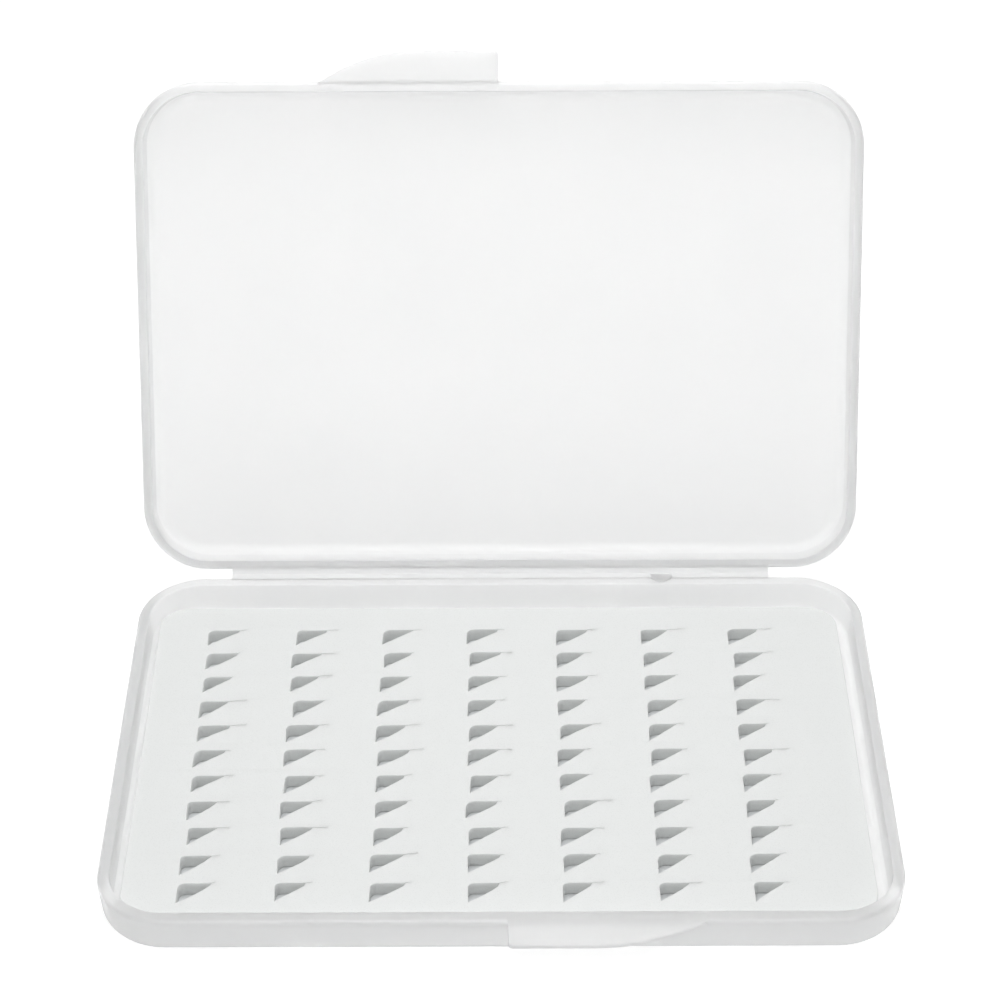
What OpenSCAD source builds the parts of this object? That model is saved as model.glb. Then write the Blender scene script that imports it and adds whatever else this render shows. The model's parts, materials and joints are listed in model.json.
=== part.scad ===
// Slim two-part lure box, moulded in one piece with a film hinge, holding a foam insert with cut hook
// slots. The tray lies flat and the lid leans back on its hinge. Origin: middle of the tray's foot.

/* [Case] */
// Width of the case along the hinge
case_w = 150; // [150:1:170]
// Depth of each half, from hinge edge to front edge
case_d = 102; // [101:1:120]
// Height of each half, from its outer face to its rim
half_h = 7.6; // [7:0.1:10]
// Radius of the case's upright corners at the rim
corner_r = 13.5; // [12:0.5:13.5]
// How far the outer wall leans in from the rim to the foot
wall_lean = 0.6; // [0.2:0.1:1]
// Rounding of the outer edge between wall and floor
foot_r = 1.6; // [0.8:0.1:2]
// Rounding of the rim's outer edge
rim_r = 0.8; // [0.4:0.1:1]
// Thickness of the tray's floor and of the lid's panel
floor_t = 1.1; // [0.8:0.1:1.5]
// How far the inner walls lean in from rim to floor
inner_lean = 0.4; // [0.2:0.1:0.6]

/* [Rims] */
// Width of the tray's rim along its short sides
tray_side_rim = 2.3; // [2:0.1:2.6]
// Width of the tray's rim along its front and back
tray_end_rim = 2.8; // [2.4:0.1:3]
// Fillet between the tray's inner wall and its floor
tray_fillet_r = 1.2; // [0.6:0.1:1.5]
// Width of the lid's rim all round
lid_rim = 2; // [1.8:0.1:2.6]
// Fillet between the lid's inner wall and its panel
lid_fillet_r = 2.3; // [1:0.1:3]

/* [Hinge] */
// Length of the film hinge
hinge_l = 113; // [60:1:120]
// Distance from each half's edge to the hinge axis
hinge_reach = 0.85; // [0.8:0.05:1.5]
// Height of the hinge axis above the tray's rim
hinge_rise = 0.15; // [0.15:0.05:0.3]
// Thickness of the two leaves that carry the film
leaf_t = 0.5; // [0.4:0.1:0.8]
// Diameter of the bead that stands for the flexing film
film_d = 0.6; // [0.5:0.05:0.6]
// Lid angle above lying open flat (the closed lid is at 180)
lid_tilt = 65; // [0:1:170]

/* [Finger tabs] */
// How far each tab stands out from the wall: tray, then lid
tab_reaches = [5.8, 6.2]; // [5:0.1:7]
// Thickness of each tab
tab_t = 1; // [0.8:0.1:1.4]
// Length of the straight part of a tab's outer edge
tab_straight = 15.5; // [10:0.5:20]
// Radius of the long sweep from the outer edge back to the wall
tab_sweep_r = 38; // [30:1:45]
// Radius of the tab's square corner
tab_corner_r = 0.9; // [0.4:0.1:2]
// Distance from the case's middle to the square end of each tab: tray, then lid
tab_starts = [1.2, 0.1]; // [0:0.1:4]

/* [Foam insert] */
// Width of the foam
foam_w = 140.8; // [130:0.2:141]
// Depth of the foam
foam_d = 90.6; // [80:0.2:91]
// Thickness of the foam
foam_t = 2.9; // [2:0.1:3.2]
// Radius of the foam's corners
foam_corner_r = 6; // [6:0.5:10]
// Where the foam's middle lies, off the tray's middle
foam_offset = [-0.4, -0.6]; // [-0.6:0.1:0.6]
// Thickness of the adhesive sheet under the foam
tape_t = 0.2; // [0.1:0.1:0.3]
// Gap from the foam's edge to the sheet's edge
tape_inset = 1.5; // [1:0.5:4]

/* [Hook slots] */
// Slots in each row
slot_columns = 7; // [3:1:7]
// Rows of slots
slot_rows = 11; // [3:1:11]
// Distance between columns
column_pitch = 17.92; // [16:0.02:18]
// Distance between rows
row_pitch = 7.46; // [6:0.02:7.6]
// Length of a slot's open triangle along the row
slot_l = 5.8; // [4:0.1:8]
// Depth of a slot's open triangle across the row
slot_d = 4.9; // [3:0.1:5]
// Length of the closed slit that runs on from each triangle's tip
slit_l = 6.2; // [3:0.1:6.5]
// Distance from the foam's back edge to the first row
back_margin = 7.4; // [5:0.1:8]

/* [Hidden] */
$fn = 96;
// Overshoot of every cutter past the face it opens
over = 1;
// How deep a leaf or a tab is let into the rim: past the rounding
root = rim_r + 0.1;
axis_y = case_d / 2 + hinge_reach;
axis_z = half_h + hinge_rise;
// The tray's leaf ends inside the bead, the lid's just clear of it
tray_leaf_gap = 0.2;
lid_leaf_gap = film_d / 2 + 0.02;
cavity_h = half_h - floor_t;
// Length of a tab along the wall, where its sweep meets it
function tab_l(reach) = tab_straight + sqrt(pow(tab_sweep_r, 2) - pow(tab_sweep_r - reach, 2));
foam_back = foam_offset[1] + foam_d / 2;
slot_x = foam_offset[0] - ((slot_columns - 1) * column_pitch + slot_l + slit_l) / 2;
plastic = [0.92, 0.93, 0.94, 0.75];

// What an arc leaves of the corner between two tangent points
module corner_waste(from, tip, to, centre, r) {
    difference() {
        polygon([from, tip, to]);
        translate(centre) circle(r);
    }
}

// The material that a leaning edge loses to its foot rounding and its optional top rounding
module edge_waste(edge, h, lean, foot, top) {
    angle = atan(lean / h);
    normal = [cos(angle), -sin(angle)];
    foot_centre = [edge - lean * (h - foot) / h - foot / cos(angle), foot];
    corner_waste(
        foot_centre + foot * normal, [edge - lean + foot, -foot], [foot_centre[0], 0], foot_centre, foot
    );
    if (top > 0) {
        top_centre = [edge - lean * top / h - top / cos(angle), h - top];
        corner_waste(
            top_centre + top * normal, [edge + top, h + top], [top_centre[0], h], top_centre, top
        );
    }
}

// Section from a corner's own axis out to the edge
module edge_section(edge, h, lean, foot, top) {
    difference() {
        polygon([[0, 0], [0, h], [edge, h], [edge - lean, 0]]);
        edge_waste(edge, h, lean, foot, top);
    }
}

// Block with round corners, walls that lean in towards the foot, and rounded foot and top edges: a
// plain core, and the same edge section run along each side and turned round each corner.
// w, d and corner are measured at the top.
module moulded_block(w, d, h, corner, lean, foot, top = 0) {
    core = [w - 2 * corner, d - 2 * corner];
    translate([-core[0] / 2, -core[1] / 2, 0]) cube([core[0], core[1], h]);
    for (quarter = [0:3]) {
        out = core[quarter % 2] / 2;
        side = core[1 - quarter % 2];
        rotate([0, 0, 90 * quarter]) {
            translate([out, side / 2, 0])
                rotate([90, 0, 0]) linear_extrude(side) edge_section(corner, h, lean, foot, top);
            translate([out, side / 2, 0])
                rotate_extrude(angle = 90) edge_section(corner, h, lean, foot, top);
        }
    }
}

// One half of the case, standing on its outer face with its rim up
module half_case(side_rim, end_rim, fillet) {
    slope = inner_lean / cavity_h;
    reach = slope * over;
    difference() {
        moulded_block(case_w, case_d, half_h, corner_r, wall_lean, foot_r, rim_r);
        translate([0, 0, floor_t])
            moulded_block(
                case_w - 2 * side_rim + 2 * reach, case_d - 2 * end_rim + 2 * reach, cavity_h + over,
                corner_r - max(side_rim, end_rim) + reach, inner_lean + reach, fillet
            );
    }
}

// Leaf of the hinge on a half whose hinge edge faces +Y, ending short of the axis by gap
module leaf(gap) {
    depth = root + hinge_reach - gap;
    translate([-hinge_l / 2, case_d / 2 - root, half_h - leaf_t]) cube([hinge_l, depth, leaf_t]);
}

// Room for a leaf in the rim
module leaf_seat() {
    translate([-hinge_l / 2, case_d / 2 - root, half_h - leaf_t]) cube([hinge_l, root + over, leaf_t + over]);
}

// Outline of a tab: x runs from its square end, y out from the wall
module tab_outline(reach) {
    difference() {
        translate([0, -root]) square([tab_straight, root + reach]);
        corner_waste(
            [0, reach - tab_corner_r], [-tab_corner_r, reach + tab_corner_r], [tab_corner_r, reach],
            [tab_corner_r, reach - tab_corner_r], tab_corner_r
        );
    }
    intersection() {
        translate([tab_straight, reach - tab_sweep_r]) circle(tab_sweep_r);
        translate([tab_straight, -root]) square([tab_l(reach) - tab_straight, root + reach]);
    }
}

// Tab of one half (0 tray, 1 lid), whose front edge faces -Y, running towards +X from its square end
module finger_tab(half) {
    translate([tab_starts[half], -case_d / 2, half_h - tab_t])
        mirror([0, 1, 0]) linear_extrude(tab_t) tab_outline(tab_reaches[half]);
}

// Room for that tab in the rim
module tab_seat(half) {
    translate([tab_starts[half], -case_d / 2 - over, half_h - tab_t])
        cube([tab_l(tab_reaches[half]), root + over, tab_t + over]);
}

// Turns a half that is built like the tray into the lid, leaning back on the hinge axis. The half's
// own hinge edge faces +Y, so it is first turned about until that edge meets the axis.
module as_lid() {
    translate([0, axis_y, axis_z])
        rotate([lid_tilt, 0, 0])
            translate([0, axis_y, -axis_z])
                rotate([0, 0, 180]) children();
}

// Foam outline with round corners
module foam_outline(inset) {
    w = foam_w - 2 * inset;
    d = foam_d - 2 * inset;
    r = foam_corner_r - inset;
    translate(foam_offset) {
        square([w - 2 * r, d], center = true);
        square([w, d - 2 * r], center = true);
        for (x = [-1, 1], y = [-1, 1]) translate([x * (w / 2 - r), y * (d / 2 - r)]) circle(r);
    }
}

// One slot: a right-angled triangle with its square corner back and left
module slot() {
    polygon([[0, 0], [0, -slot_d], [slot_l, 0]]);
}

module tray_shell() {
    color(plastic)
        difference() {
            half_case(tray_side_rim, tray_end_rim, tray_fillet_r);
            leaf_seat();
            tab_seat(0);
        }
}

module tray_hinge_leaf() {
    color(plastic) leaf(tray_leaf_gap);
}

module tray_finger_tab() {
    color(plastic) finger_tab(0);
}

// Bead on the hinge axis, in the place of the thin film that flexes there
module hinge_film() {
    color(plastic)
        difference() {
            translate([0, axis_y, axis_z]) rotate([0, 90, 0]) cylinder(hinge_l, d = film_d, center = true);
            leaf(tray_leaf_gap);
        }
}

module adhesive_sheet() {
    color([0.8, 0.82, 0.82]) translate([0, 0, floor_t]) linear_extrude(tape_t) foam_outline(tape_inset);
}

module foam_insert() {
    color([0.93, 0.94, 0.94])
        translate([0, 0, floor_t + tape_t])
            linear_extrude(foam_t)
                difference() {
                    foam_outline(0);
                    for (column = [0:slot_columns - 1], row = [0:slot_rows - 1])
                        translate([
                            slot_x + column * column_pitch,
                            foam_back - back_margin - row * row_pitch
                        ])
                            slot();
                }
}

module lid_shell() {
    color(plastic)
        as_lid()
            difference() {
                half_case(lid_rim, lid_rim, lid_fillet_r);
                leaf_seat();
                tab_seat(1);
            }
}

module lid_hinge_leaf() {
    color(plastic) as_lid() leaf(lid_leaf_gap);
}

module lid_finger_tab() {
    color(plastic) as_lid() finger_tab(1);
}

tray_shell();
tray_hinge_leaf();
tray_finger_tab();
hinge_film();
adhesive_sheet();
foam_insert();
lid_shell();
lid_hinge_leaf();
lid_finger_tab();
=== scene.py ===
"""Looks of the slim box: one translucent moulding with a film hinge, and a slit foam insert.

Lengths are in millimetres while shapes are worked out, and become metres when a mesh is made.
"""

import json
import math
import random

import bpy
from mathutils import Matrix, Vector
from mathutils.geometry import tessellate_polygon


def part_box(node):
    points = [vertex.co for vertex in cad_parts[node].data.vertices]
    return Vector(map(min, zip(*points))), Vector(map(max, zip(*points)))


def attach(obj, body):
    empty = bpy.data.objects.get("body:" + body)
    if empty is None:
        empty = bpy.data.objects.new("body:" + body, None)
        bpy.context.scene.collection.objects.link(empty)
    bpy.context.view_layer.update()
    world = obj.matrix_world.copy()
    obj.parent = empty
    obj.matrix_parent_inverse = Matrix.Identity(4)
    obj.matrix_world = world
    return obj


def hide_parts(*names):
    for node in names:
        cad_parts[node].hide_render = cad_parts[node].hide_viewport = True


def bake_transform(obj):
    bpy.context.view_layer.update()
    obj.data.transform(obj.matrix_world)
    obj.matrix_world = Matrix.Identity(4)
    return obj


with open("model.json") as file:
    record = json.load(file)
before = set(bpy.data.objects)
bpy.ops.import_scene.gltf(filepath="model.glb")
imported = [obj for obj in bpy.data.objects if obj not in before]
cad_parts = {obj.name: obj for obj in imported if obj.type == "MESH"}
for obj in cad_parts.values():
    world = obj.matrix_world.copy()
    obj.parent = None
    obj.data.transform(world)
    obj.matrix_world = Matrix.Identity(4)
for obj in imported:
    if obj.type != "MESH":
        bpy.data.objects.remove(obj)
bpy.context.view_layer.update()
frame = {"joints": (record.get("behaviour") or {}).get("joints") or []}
MM = 0.001


def millimetres(node):
    """Lowest and highest corner of a CAD node, in millimetres."""
    return [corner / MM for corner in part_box(node)]


# ---- Sizes: what the frame gives, then the small features that only the looks have ----

TRAY_LOW, TRAY_HIGH = millimetres("tray_shell")
FOAM_LOW, FOAM_HIGH = millimetres("foam_insert")
TAPE_LOW, TAPE_HIGH = millimetres("adhesive_sheet")
FILM_LOW, FILM_HIGH = millimetres("hinge_film")
TAB_LOW, TAB_HIGH = millimetres("tray_finger_tab")
LID_TAB_END = millimetres("lid_finger_tab")[1].x
HINGE = frame["joints"][0]
AXIS = Vector(HINGE["pos_m"]) / MM
LID_TILT = HINGE["range_deg"][1]

# The case's section; rim widths are along the short sides, then along front and back
HEIGHT = TRAY_HIGH.z
FLOOR = TAPE_LOW.z
WALL_LEAN = 0.6
FOOT_R = 1.6
RIM_R = 0.8
INNER_LEAN = 0.4
LIP_R = 0.22
TRAY_RIMS = (2.3, 2.8)
TRAY_FILLET = 1.2
LID_RIMS = (2.0, 2.0)
LID_FILLET = 2.3
CORNER_R = 13.5
WALL_ANGLE = math.atan(WALL_LEAN / HEIGHT)
# What the rim's rounding takes off the leaning wall's widest line
RIM_LOSS = WALL_LEAN * RIM_R / HEIGHT + RIM_R / math.cos(WALL_ANGLE) - RIM_R
HALF_W = TRAY_HIGH.x + RIM_LOSS
HALF_D = TRAY_HIGH.y + RIM_LOSS
# How far a flat face's outermost ring of points lies in from the rounding beside it
CAP_STEP = 1.0

# Finger tabs
TAB_T = TAB_HIGH.z - TAB_LOW.z
TRAY_TAB_REACH = -HALF_D - TAB_LOW.y
LID_TAB_REACH = 6.2
TAB_STRAIGHT = 15.5
TAB_SWEEP_R = 38.0
TAB_BLEND_R = 3.0
TAB_CORNER_R = 0.9
TAB_BEVEL_W = 1.6
TAB_BEVEL_DROP = 0.12
TAB_LAND_DROP = 0.04
TAB_EDGE_RS = (0.35, 0.25, 0.35)
# Softening of the tab's square end: over this length it is this much thinner from each side
TAB_END_L = 0.15
TAB_END_DROP = 0.12
# Where the step down to the tab runs along the rim: without a tab, and behind a full one
LAND_EDGE = (-0.9, -1.7)
LAND_STEP_W = 0.35
# Tab widths between which that step moves from the one place to the other
LAND_SHIFT = (1.66, 3.06)

# Film hinge: depths under the axis of the film's inner and outer face and the leaves' outer face
FILM_INNER = 0.13
FILM_OUTER = 0.5
LEAF_OUTER = 0.65

# Gate mark: its middle stands just behind the rim, and its bevel is (width, height)
GATE_R = 2.35
GATE_X = 33.85
GATE_BACK = 0.3
GATE_RISE = 0.2
GATE_SINK = 0.5
GATE_BEVEL = (0.25, 0.12)

# Foam and its cuts
SLOT_COLUMNS = 7
SLOT_ROWS = 11
COLUMN_PITCH = 17.92
ROW_PITCH = 7.46
SLOT_L = 5.8
SLOT_D = 4.9
SLOT_CORNER_R = 1.3
SLIT_L = 6.2
SLIT_W = 0.12
LIP_SPREAD = 0.06
LIP_DEPTH = 0.1
BACK_MARGIN = 7.4
FOAM_CORNER_R = 6.0
FOAM_EDGE_R = 0.25
FOAM_EDGE_GAP = 0.06
TAPE_INSET = 1.5
TAPE_GAP = 0.01

# Studio, in metres and watts: lights at their place, with their tilt towards the back in degrees
SOFTBOX_W = 0.25
SOFTBOXES = (
    ("top_softbox", (0, 0.1, 0.42), 0, 0.86),
    ("front_softbox", (0, -0.25, 0.45), 32, 0.84),
)
# Each is ((from, to) along Y, (strength there, strength there))
TABLE_GLOW = ((-0.06, 0.05), (0.64, 0.72))
SKY_FADE = ((-0.6, 0.4), (0.12, 0.6))
TABLE_HALF = 6.0
TABLE_GAP = 0.00005

# Camera, in metres and degrees
LENS = 101.0
CAMERA_PLACE = (0, -0.41523, 0.37192)
CAMERA_PITCH = 36.447
CAMERA_ROLL = -0.18


# ---- Small tools ----


def arc(centre, radius, start, end, steps):
    """steps + 1 points on an arc, angles in degrees."""
    points = []
    for i in range(steps + 1):
        angle = math.radians(start + (end - start) * i / steps)
        points.append((centre[0] + radius * math.cos(angle), centre[1] + radius * math.sin(angle)))
    return points


def rounded_corners(half_w, half_d, radius, steps):
    """The four corner arcs of a round-cornered rectangle, counter-clockwise from the front right.

    Each comes with its start angle, which tells which side follows it.
    """
    for sign_x, sign_y, start in ((1, -1, -90), (1, 1, 0), (-1, 1, 90), (-1, -1, 180)):
        corner = (sign_x * (half_w - radius), sign_y * (half_d - radius))
        yield start, arc(corner, radius, start, start + 90, steps)


def make_mesh(name, points, faces, material, body=None, sharp=35, place=Matrix.Identity(4)):
    """A mesh piece from points in millimetres, riding on a CAD body where one is named.

    Edges that turn by more than sharp degrees stay sharp, and place moves the points.
    """
    mesh = bpy.data.meshes.new(name)
    mesh.from_pydata([place @ Vector(p) * MM for p in points], [], faces)
    mesh.validate()
    mesh.materials.append(material)
    mesh.shade_smooth()
    mesh.set_sharp_from_angle(angle=math.radians(sharp))
    piece = bpy.data.objects.new(name, mesh)
    bpy.context.scene.collection.objects.link(piece)
    if body:
        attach(piece, body)
    return piece


def ring_faces(rings, count):
    """Quads between rings of count points each; the rings follow one another in the point list."""
    faces = []
    for ring in range(rings - 1):
        for i in range(count):
            j = (i + 1) % count
            low, high = ring * count, (ring + 1) * count
            faces.append((low + i, low + j, high + j, high + i))
    return faces


def capped_faces(rings, count):
    """The same quads, and a face that closes the first ring and one that closes the last."""
    faces = ring_faces(rings, count)
    faces.append(tuple(reversed(range(count))))
    faces.append(tuple(range((rings - 1) * count, rings * count)))
    return faces


# ---- One half of the case ----


def half_section(fillet):
    """The section of a half from its underside out, over the rim and in to the floor.

    Each row is (outward, z, inner, zone): outward counts from the rim's outer edge, or from its inner
    edge where inner is 1, and zone marks the rows that a tab reshapes.
    """
    slope = math.degrees(WALL_ANGLE)
    cosine = math.cos(WALL_ANGLE)
    foot_x = -(WALL_LEAN * (HEIGHT - FOOT_R) / HEIGHT + FOOT_R / cosine)
    rows = [(foot_x - CAP_STEP, 0, 0, False)]
    rows += [(x, z, 0, False) for x, z in arc((foot_x, FOOT_R), FOOT_R, -90, -slope, 8)]
    rows += [(x, z, 0, True) for x, z in plain_rim()]
    depth = HEIGHT - FLOOR
    lean_angle = math.atan(INNER_LEAN / depth)
    inner_slope = math.degrees(lean_angle)
    lip_x = -INNER_LEAN * LIP_R / depth + LIP_R / math.cos(lean_angle)
    lip_arc = arc((lip_x, HEIGHT - LIP_R), LIP_R, 90, 180 - inner_slope, 4)
    rows += [(x, z, 1, False) for x, z in lip_arc]
    fillet_x = -(INNER_LEAN * (depth - fillet) / depth + fillet / math.cos(lean_angle))
    fillet_arc = arc((fillet_x, FLOOR + fillet), fillet, -inner_slope, -90, 10)
    rows += [(x, z, 1, False) for x, z in fillet_arc]
    rows.append((fillet_x - CAP_STEP, FLOOR, 1, False))
    return rows


def wall_out(z):
    """How far out the outer wall stands at height z."""
    return -WALL_LEAN * (HEIGHT - z) / HEIGHT


def plain_rim():
    """The outer rim where there is no tab: wall top, rounding and flat, as many points as tab_rim."""
    slope = math.degrees(WALL_ANGLE)
    centre_x = -(WALL_LEAN * RIM_R / HEIGHT + RIM_R / math.cos(WALL_ANGLE))
    low = HEIGHT - TAB_T - TAB_EDGE_RS[0]
    points = [(wall_out(low), low)]
    points += arc((centre_x, HEIGHT - RIM_R), RIM_R, -slope, 90, 14)
    points += [(centre_x + (LAND_EDGE[1] - centre_x) * i / 4, HEIGHT) for i in range(1, 5)]
    return points


def tab_width(along, reach):
    """How far a tab stands out from the rim, along its length from the square end."""
    if along < 0:
        return 0.0
    if along < TAB_CORNER_R:
        return reach - TAB_CORNER_R + math.sqrt(TAB_CORNER_R**2 - (TAB_CORNER_R - along) ** 2)
    if along < TAB_STRAIGHT:
        return reach
    low = reach - TAB_SWEEP_R
    blend_x = TAB_STRAIGHT + math.sqrt((TAB_SWEEP_R + TAB_BLEND_R) ** 2 - (TAB_BLEND_R - low) ** 2)
    share = TAB_SWEEP_R / (TAB_SWEEP_R + TAB_BLEND_R)
    if along < TAB_STRAIGHT + (blend_x - TAB_STRAIGHT) * share:
        return low + math.sqrt(TAB_SWEEP_R**2 - (along - TAB_STRAIGHT) ** 2)
    if along < blend_x:
        return TAB_BLEND_R - math.sqrt(TAB_BLEND_R**2 - (blend_x - along) ** 2)
    return 0.0


def tab_slope(along, reach):
    """How steeply the tab's edge runs back to the wall; the square end counts as level."""
    step = 0.05
    if along <= TAB_BEVEL_W + step:
        return 0
    return (tab_width(along + step, reach) - tab_width(along - step, reach)) / (2 * step)


def tab_rim(along, reach):
    """The outer rim where the tab runs out of it, at a distance along the tab from its square end."""
    width = tab_width(along, reach)
    size = min(1.0, width)
    stretch = math.sqrt(1 + tab_slope(along, reach) ** 2)
    at_end = max(0.0, 1 - along / TAB_END_L) * TAB_END_DROP
    under = HEIGHT - TAB_T + at_end
    root_r, low_r, top_r = (radius * size for radius in TAB_EDGE_RS)

    def top(out):
        """Height of the tab's upper face, which falls away along its bevelled edges."""
        edge = min((width - out) / stretch, along)
        bevel = TAB_BEVEL_DROP * max(0.0, 1 - edge / TAB_BEVEL_W) if out > 0 else 0
        return HEIGHT - TAB_LAND_DROP * size - bevel * size - at_end

    points = arc((wall_out(under) + root_r, under - root_r), root_r, 180, 90, 3)
    points += arc((width - low_r, under + low_r), low_r, -90, 0, 2)
    points += arc((width - top_r, top(width - top_r) - top_r), top_r, 0, 90, 3)
    # Across the upper face: down the bevel, over its inner edge, then to the root and up the step
    for inward in (0.8, 1.2, TAB_BEVEL_W, TAB_BEVEL_W + 0.1):
        out = max(width - inward * stretch, 0.3 * width)
        points.append((out, top(out)))
    shift = min(1.0, max(0.0, (width - LAND_SHIFT[0]) / (LAND_SHIFT[1] - LAND_SHIFT[0])))
    land = LAND_EDGE[0] + (LAND_EDGE[1] - LAND_EDGE[0]) * shift
    points.append((0.2 * width, top(0.2 * width)))
    points.append(((land + LAND_STEP_W) / 2, top(0)))
    points.append((land + LAND_STEP_W, top(0)))
    points.append((land, HEIGHT))
    points.append((LAND_EDGE[1] - 0.01, HEIGHT))
    return points


def tab_stations(start, reach):
    """Where the front edge is divided along X, with the distance along the tab at each place."""
    gap = 0.02
    places = [(-gap, None)]
    ends = [0.0, 0.08, TAB_END_L, 0.3, 0.5, TAB_CORNER_R, 1.2, TAB_BEVEL_W, TAB_BEVEL_W + 0.2, 2.5]
    middle = [4.0, 7.0, 10.0, 13.0, TAB_STRAIGHT - 0.5]
    places += [(p, p) for p in ends + middle]
    step = 0.7
    along = TAB_STRAIGHT
    while tab_width(along, reach) > gap:
        places.append((along, along))
        along += step if tab_width(along, reach) > 1.0 else step / 3
    places.append((along, None))
    return [(start + place, tab) for place, tab in places]


def outline(out_x, out_y, stations):
    """A round-cornered ring that starts with the front edge's stations."""
    half_w, half_d = HALF_W + out_x, HALF_D + out_y
    points = [(x, -half_d) for x, tab in stations]
    for start, bend in rounded_corners(half_w, half_d, CORNER_R + min(out_x, out_y), 20):
        points += bend
    return points


def half_case(name, rims, fillet, tab_start, tab_reach, material, body, place):
    """One half of the case with its tab, as one closed mesh."""
    stations = tab_stations(tab_start, tab_reach)
    rim_rows = [tab_rim(tab, tab_reach) if tab is not None else None for x, tab in stations]
    points = []
    zone_row = 0
    rows = half_section(fillet)
    for out, z, inner, in_zone in rows:
        ring_outline = outline(out - inner * rims[0], out - inner * rims[1], stations)
        ring = [(x, y, z) for x, y in ring_outline]
        if in_zone:
            for i, (x, tab) in enumerate(stations):
                if tab is not None:
                    tab_out, tab_z = rim_rows[i][zone_row]
                    ring[i] = (x, -HALF_D - tab_out, tab_z)
            zone_row += 1
        points += ring
    faces = capped_faces(len(rows), len(points) // len(rows))
    return make_mesh(name, points, faces, material, body, place=place)


# ---- Film hinge ----


def hinge_strip(material):
    """The thin strip that bends from the tray's rim to the lid's."""
    # Distance from the axis along the tray's rim, with the outer face's depth there
    lead_in = [(-1.55, LEAF_OUTER), (-0.85, LEAF_OUTER), (-0.55, LEAF_OUTER), (-0.3, FILM_OUTER)]
    inner = [(reach, -FILM_INNER) for reach, outer in lead_in]
    outer = [(reach, -outer) for reach, outer in lead_in]
    steps = 12
    for i in range(steps + 1):
        angle = math.radians(LID_TILT * i / steps)
        direction = (math.sin(angle), -math.cos(angle))
        inner.append((FILM_INNER * direction[0], FILM_INNER * direction[1]))
        outer.append((FILM_OUTER * direction[0], FILM_OUTER * direction[1]))
    turn = math.radians(LID_TILT)
    cosine, sine = math.cos(turn), math.sin(turn)
    for reach, depth in reversed(lead_in):
        for path, drop in ((inner, FILM_INNER), (outer, depth)):
            path.append((-reach * cosine + drop * sine, -reach * sine - drop * cosine))
    section = inner + list(reversed(outer))
    points = [(x, AXIS.y + y, AXIS.z + z) for x in (FILM_LOW.x, FILM_HIGH.x) for y, z in section]
    count = len(section)
    faces = [tuple(reversed(face)) for face in ring_faces(2, count)]
    half = count // 2
    for i in range(half - 1):
        cap = (i, i + 1, count - 2 - i, count - 1 - i)
        faces.append(cap)
        faces.append(tuple(count + index for index in reversed(cap)))
    piece = make_mesh("hinge_strip", points, faces, material)
    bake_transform(piece)
    return piece


def gate_mark(material):
    """The small half-round land that the moulding gate leaves on the tray's back rim."""
    top = HEIGHT + GATE_RISE
    rings = [
        (GATE_R, HEIGHT - GATE_SINK),
        (GATE_R, top - GATE_BEVEL[1]),
        (GATE_R - GATE_BEVEL[0], top),
    ]
    points = []
    for radius, z in rings:
        edge = arc((GATE_X, HALF_D + GATE_BACK), radius, 180, 360, 24)
        points += [(x, y, z) for x, y in edge]
    return make_mesh("gate_mark", points, capped_faces(len(rings), len(edge)), material, "tray")


# ---- Foam insert ----


def foam_edge(inset):
    """The foam's outline, moved in by inset and a little uneven as a knife leaves it."""
    wander = random.Random(5)
    waves = []
    for i in range(6):
        waves.append((wander.uniform(0.01, 0.03), wander.randint(2, 9), wander.uniform(0, 6)))
    centre = (FOAM_LOW + FOAM_HIGH) / 2
    half = (FOAM_HIGH - FOAM_LOW) / 2
    steps = 30
    points = []
    for start, bend in rounded_corners(half.x, half.y, FOAM_CORNER_R, 12):
        points += bend
        side = (half.y if start in (-90, 90) else half.x) - FOAM_CORNER_R
        heading = math.radians(start + 180)
        x, y = bend[-1]
        for i in range(1, steps):
            reach = 2 * side * i / steps
            points.append((x + reach * math.cos(heading), y + reach * math.sin(heading)))
    shaped = []
    for x, y in points:
        angle = math.atan2(y, x)
        drift = sum(size * math.sin(turns * angle + phase) for size, turns, phase in waves)
        grow = 1 - (inset + FOAM_EDGE_GAP + drift) / max(abs(x), abs(y))
        shaped.append((centre.x + x * grow, centre.y + y * grow))
    return shaped


def slot_outline(chance):
    """One cut: a triangle with a rounded back left corner, and the closed slit beyond its tip.

    The origin is that corner, x runs towards the slit, and the shares and offsets in millimetres drawn
    from chance make no two cuts quite alike.
    """
    length = SLOT_L * chance.uniform(0.9, 1.1)
    depth = SLOT_D * chance.uniform(0.94, 1.06)
    slit = SLIT_L * chance.triangular(0.08, 0.65, 0.1)
    rise = chance.uniform(-0.1, 0.45)
    bow = chance.uniform(-0.25, 0.2)
    radius = SLOT_CORNER_R * chance.uniform(0.6, 1.3)
    blunt = chance.uniform(0.25, 0.85)
    lean = chance.uniform(-0.15, 0.15)
    points = [(lean, -depth), (lean / 2, -depth / 2)]
    points += arc((radius, -radius), radius, 180, 90, 5)
    points.append((length * 0.6, chance.uniform(-0.05, 0.12)))
    points.append((length, rise * 0.2))
    points.append((length + slit, rise))
    points.append((length + 0.1, rise * 0.2 - SLIT_W))
    points.append((length - 0.15, -blunt))
    for share in (0.75, 0.5, 0.25):
        out = bow * 4 * share * (1 - share)
        points.append((length * share + out, -depth + (depth - blunt) * share - out * 0.5))
    return points


def slot_places():
    """The back left corner of every cut, with the small errors of a worn cutting die."""
    left = (FOAM_LOW.x + FOAM_HIGH.x) / 2
    left -= ((SLOT_COLUMNS - 1) * COLUMN_PITCH + SLOT_L + SLIT_L) / 2
    back = FOAM_HIGH.y - BACK_MARGIN
    chance = random.Random(11)
    for column in range(SLOT_COLUMNS):
        for row in range(SLOT_ROWS):
            x = left + column * COLUMN_PITCH + chance.gauss(0, 0.25)
            y = back - row * ROW_PITCH + chance.gauss(0, 0.12)
            yield x, y, chance


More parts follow.
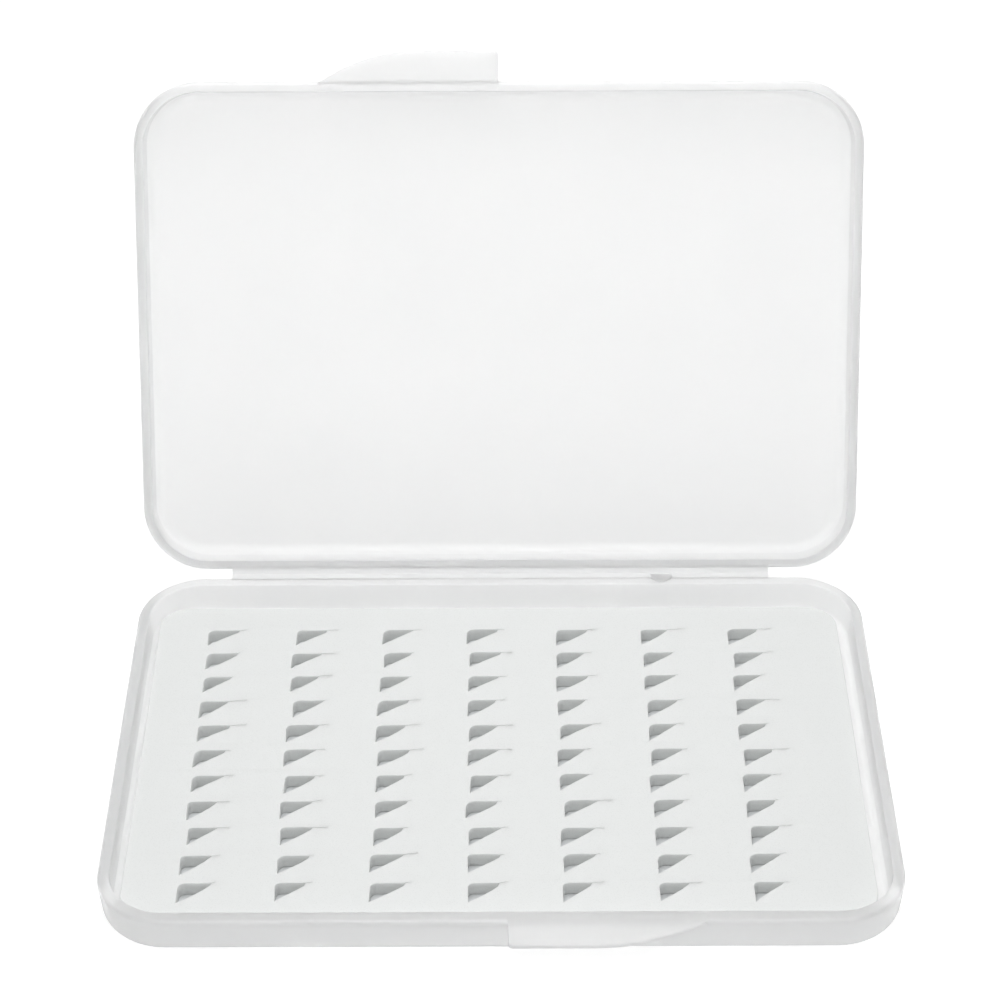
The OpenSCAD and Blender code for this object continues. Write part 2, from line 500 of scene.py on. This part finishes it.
def grown(outline_points, amount):
    """The outline moved outwards by amount: the lip of a cut."""
    count = len(outline_points)
    moved = []
    for i, (x, y) in enumerate(outline_points):
        before, after = outline_points[i - 1], outline_points[(i + 1) % count]
        dx, dy = after[0] - before[0], after[1] - before[1]
        size = math.hypot(dx, dy) or 1
        moved.append((x - dy / size * amount, y + dx / size * amount))
    return moved


def foam_insert(material):
    """The sheet with all its cuts as real holes: rounded outer edge, soft lips, straight walls."""
    low, high = FOAM_LOW.z, FOAM_HIGH.z
    levels = [(0, low)]
    for out, up in arc((0, 0), FOAM_EDGE_R, 0, 90, 3):
        levels.append((FOAM_EDGE_R - out, high - FOAM_EDGE_R + up))
    points = [(x, y, z) for inset, z in levels for x, y in foam_edge(inset)]
    count = len(points) // len(levels)
    faces = ring_faces(len(levels), count)
    top_loops = [list(range(len(points) - count, len(points)))]
    bottom_loops = [list(range(count))]
    for x, y, chance in slot_places():
        cut = [(x + px, y + py) for px, py in slot_outline(chance)]
        lip = grown(cut, LIP_SPREAD)
        walls = [(lip, high), (cut, high - LIP_DEPTH), (cut, (low + high) / 2), (cut, low)]
        first = len(points)
        size = len(cut)
        for loop, z in walls:
            points += [(px, py, z) for px, py in loop]
        faces += [tuple(first + index for index in face) for face in ring_faces(len(walls), size)]
        top_loops.append(list(range(first, first + size)))
        bottom_loops.append(list(range(len(points) - size, len(points))))
    faces += filled(points, top_loops, up=True)
    faces += filled(points, bottom_loops, up=False)
    return make_mesh("foam_sheet", points, faces, material, "tray", sharp=40)


def filled(points, loops, up):
    """Triangles of a flat face with holes, all facing up or all facing down."""
    index = [i for loop in loops for i in loop]
    corners = tessellate_polygon([[Vector(points[i]) for i in loop] for loop in loops])
    faces = []
    for triangle in corners:
        a, b, c = (index[i] for i in triangle)
        pa, pb, pc = (Vector(points[i]) for i in (a, b, c))
        facing_up = (pb - pa).cross(pc - pa).z > 0
        faces.append((a, b, c) if facing_up == up else (a, c, b))
    return faces


def adhesive(material):
    """The thin sheet under the foam, seen only at the bottom of the cuts."""
    centre = (TAPE_LOW + TAPE_HIGH) / 2
    half = (TAPE_HIGH - TAPE_LOW) / 2
    ring = []
    for start, bend in rounded_corners(half.x, half.y, FOAM_CORNER_R - TAPE_INSET, 8):
        ring += [(centre.x + x, centre.y + y) for x, y in bend]
    levels = (TAPE_LOW.z + TAPE_GAP, TAPE_HIGH.z - TAPE_GAP)
    points = [(x, y, z) for z in levels for x, y in ring]
    return make_mesh("adhesive", points, capped_faces(len(levels), len(ring)), material, "tray")


# ---- Materials ----


def new_material(name):
    """A node material with its main shader and object coordinates."""
    material = bpy.data.materials.new(name)
    material.use_nodes = True
    nodes = material.node_tree.nodes
    shader = nodes["Principled BSDF"]
    coordinates = nodes.new("ShaderNodeTexCoord").outputs["Object"]
    return material, shader, coordinates


def fade(tree, value, span, strengths):
    """A value's span mapped to a span of strengths."""
    node = tree.nodes.new("ShaderNodeMapRange")
    node.inputs["From Min"].default_value, node.inputs["From Max"].default_value = span
    node.inputs["To Min"].default_value, node.inputs["To Max"].default_value = strengths
    tree.links.new(value, node.inputs["Value"])
    return node.outputs["Result"]


def along_y(tree, coordinates):
    """The Y part of some coordinates."""
    node = tree.nodes.new("ShaderNodeSeparateXYZ")
    tree.links.new(coordinates, node.inputs["Vector"])
    return node.outputs["Y"]


def noise(material, coordinates, size, detail=4.0):
    """Noise whose lumps are about size millimetres across."""
    node = material.node_tree.nodes.new("ShaderNodeTexNoise")
    node.inputs["Scale"].default_value = 1 / (size * MM)
    node.inputs["Detail"].default_value = detail
    material.node_tree.links.new(coordinates, node.inputs["Vector"])
    return node.outputs["Fac"]


def ramp(material, value, low, high, colours):
    """A value turned into a colour between two, over the given span of the value."""
    node = material.node_tree.nodes.new("ShaderNodeValToRGB")
    for element, place, colour in zip(node.color_ramp.elements, (low, high), colours):
        element.position = place
        element.color = (*colour, 1)
    material.node_tree.links.new(value, node.inputs["Fac"])
    return node.outputs["Color"]


def bump(material, value, height, strength):
    """Relief of about height millimetres."""
    node = material.node_tree.nodes.new("ShaderNodeBump")
    node.inputs["Distance"].default_value = height * MM
    node.inputs["Strength"].default_value = strength
    material.node_tree.links.new(value, node.inputs["Height"])
    return node.outputs["Normal"]


def milky_plastic():
    """Natural polypropylene: milky, half clear, satin, with a slight cloudiness."""
    material, shader, place = new_material("milky_plastic")
    links = material.node_tree.links
    cloud = noise(material, place, 14, 3)
    milks = [(0.94, 0.945, 0.945), (0.965, 0.967, 0.967)]
    links.new(ramp(material, cloud, 0.35, 0.65, milks), shader.inputs["Base Color"])
    satin = noise(material, place, 0.35, 2)
    sheens = [(0.36, 0.36, 0.36), (0.5, 0.5, 0.5)]
    links.new(ramp(material, satin, 0.3, 0.7, sheens), shader.inputs["Roughness"])
    links.new(bump(material, satin, 0.01, 0.5), shader.inputs["Normal"])
    shader.inputs["IOR"].default_value = 1.18
    shader.inputs["Transmission Weight"].default_value = 0.6
    shader.inputs["Subsurface Weight"].default_value = 1.0
    shader.inputs["Subsurface Radius"].default_value = (1.0, 1.0, 1.0)
    shader.inputs["Subsurface Scale"].default_value = 6 * MM
    shader.inputs["Coat Weight"].default_value = 0.4
    shader.inputs["Coat Roughness"].default_value = 0.25
    return material


def foam_material():
    """White closed-cell foam with fine pores."""
    material, shader, place = new_material("white_foam")
    links = material.node_tree.links
    pores = material.node_tree.nodes.new("ShaderNodeTexVoronoi")
    pores.inputs["Scale"].default_value = 1 / (0.35 * MM)
    links.new(place, pores.inputs["Vector"])
    depth = pores.outputs["Distance"]
    whites = [(0.705, 0.717, 0.711), (0.765, 0.777, 0.771)]
    links.new(ramp(material, depth, 0.05, 0.35, whites), shader.inputs["Base Color"])
    links.new(bump(material, depth, 0.03, 0.6), shader.inputs["Normal"])
    shader.inputs["Roughness"].default_value = 0.95
    shader.inputs["Specular IOR Level"].default_value = 0.2
    shader.inputs["Subsurface Weight"].default_value = 0.75
    shader.inputs["Subsurface Radius"].default_value = (1.0, 1.0, 1.0)
    shader.inputs["Subsurface Scale"].default_value = 2 * MM
    return material


def tape_material():
    """Pale tape, slightly mottled."""
    material, shader, place = new_material("pale_tape")
    mottle = noise(material, place, 1.2)
    greys = [(0.6, 0.615, 0.62), (0.68, 0.695, 0.70)]
    colour = ramp(material, mottle, 0.3, 0.7, greys)
    material.node_tree.links.new(colour, shader.inputs["Base Color"])
    shader.inputs["Roughness"].default_value = 0.5
    return material


def floor_material():
    """A photo table that glows a little more towards the back, bright enough to burn out to white."""
    material, shader, place = new_material("photo_table")
    tree = material.node_tree
    grain = noise(material, place, 3)
    greys = [(0.48, 0.48, 0.48), (0.52, 0.52, 0.52)]
    tree.links.new(ramp(material, grain, 0.3, 0.7, greys), shader.inputs["Base Color"])
    shader.inputs["Roughness"].default_value = 0.9
    shader.inputs["Emission Color"].default_value = (1, 1, 1, 1)
    glow = fade(tree, along_y(tree, place), *TABLE_GLOW)
    tree.links.new(glow, shader.inputs["Emission Strength"])
    return material


# ---- Pieces ----


def lid_place():
    """Turns a half built like the tray into the lid, leaning back on the hinge axis."""
    return (
        Matrix.Translation((0, AXIS.y, AXIS.z))
        @ Matrix.Rotation(math.radians(LID_TILT), 4, "X")
        @ Matrix.Translation((0, AXIS.y, -AXIS.z))
        @ Matrix.Rotation(math.pi, 4, "Z")
    )


def build_object():
    """Every piece, with the CAD nodes it stands for hidden."""
    plastic = milky_plastic()
    foam = foam_material()
    flat = Matrix.Identity(4)
    tray_tab = (TAB_LOW.x, TRAY_TAB_REACH)
    lid_tab = (-LID_TAB_END, LID_TAB_REACH)
    tray = half_case("tray", TRAY_RIMS, TRAY_FILLET, *tray_tab, plastic, "tray", flat)
    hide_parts("tray_shell", "tray_finger_tab")
    lid = half_case("lid", LID_RIMS, LID_FILLET, *lid_tab, plastic, "lid", lid_place())
    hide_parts("lid_shell", "lid_finger_tab")
    strip = hinge_strip(plastic)
    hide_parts("tray_hinge_leaf", "lid_hinge_leaf", "hinge_film")
    gate = gate_mark(plastic)
    sheet = foam_insert(foam)
    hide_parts("foam_insert")
    tape = adhesive(tape_material())
    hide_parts("adhesive_sheet")


# ---- Studio ----


def sky():
    """A white surround, dimmer towards the front where the camera stands."""
    world = bpy.data.worlds.new("studio")
    world.use_nodes = True
    tree = world.node_tree
    background = tree.nodes["Background"]
    direction = tree.nodes.new("ShaderNodeTexCoord").outputs["Generated"]
    tree.links.new(fade(tree, along_y(tree, direction), *SKY_FADE), background.inputs["Strength"])
    background.inputs["Color"].default_value = (1, 1, 1, 1)
    return world


def softbox(name, place, tilt, energy):
    """A square soft light, tilted from straight down towards the back by some degrees."""
    lamp = bpy.data.lights.new(name, "AREA")
    lamp.size = SOFTBOX_W
    lamp.energy = energy
    light = bpy.data.objects.new(name, lamp)
    light.matrix_world = Matrix.Translation(place) @ Matrix.Rotation(math.radians(tilt), 4, "X")
    bpy.context.scene.collection.objects.link(light)


def studio():
    """A bright photo table just under the object, two softboxes and the surround."""
    corners = [(x * TABLE_HALF, y * TABLE_HALF, -TABLE_GAP) for x, y in ((-1, -1), (1, -1), (1, 1), (-1, 1))]
    mesh = bpy.data.meshes.new("photo_table")
    mesh.from_pydata(corners, [], [(0, 1, 2, 3)])
    mesh.materials.append(floor_material())
    floor = bpy.data.objects.new("photo_table", mesh)
    bpy.context.scene.collection.objects.link(floor)
    bpy.context.scene.world = sky()
    for name, place, tilt, energy in SOFTBOXES:
        softbox(name, place, tilt, energy)
    bpy.context.scene.view_settings.view_transform = "Standard"


def camera():
    """The photograph's view: from the front, looking down at the tray."""
    lens = bpy.data.cameras.new("camera")
    lens.sensor_width = 36
    lens.lens = LENS
    lens.clip_start = 0.01
    view = bpy.data.objects.new("camera", lens)
    pitch = Matrix.Rotation(math.radians(90 - CAMERA_PITCH), 4, "X")
    roll = Matrix.Rotation(math.radians(CAMERA_ROLL), 4, "Z")
    view.matrix_world = Matrix.Translation(CAMERA_PLACE) @ pitch @ roll
    bpy.context.scene.collection.objects.link(view)
    bpy.context.scene.camera = view


build_object()
studio()
camera()
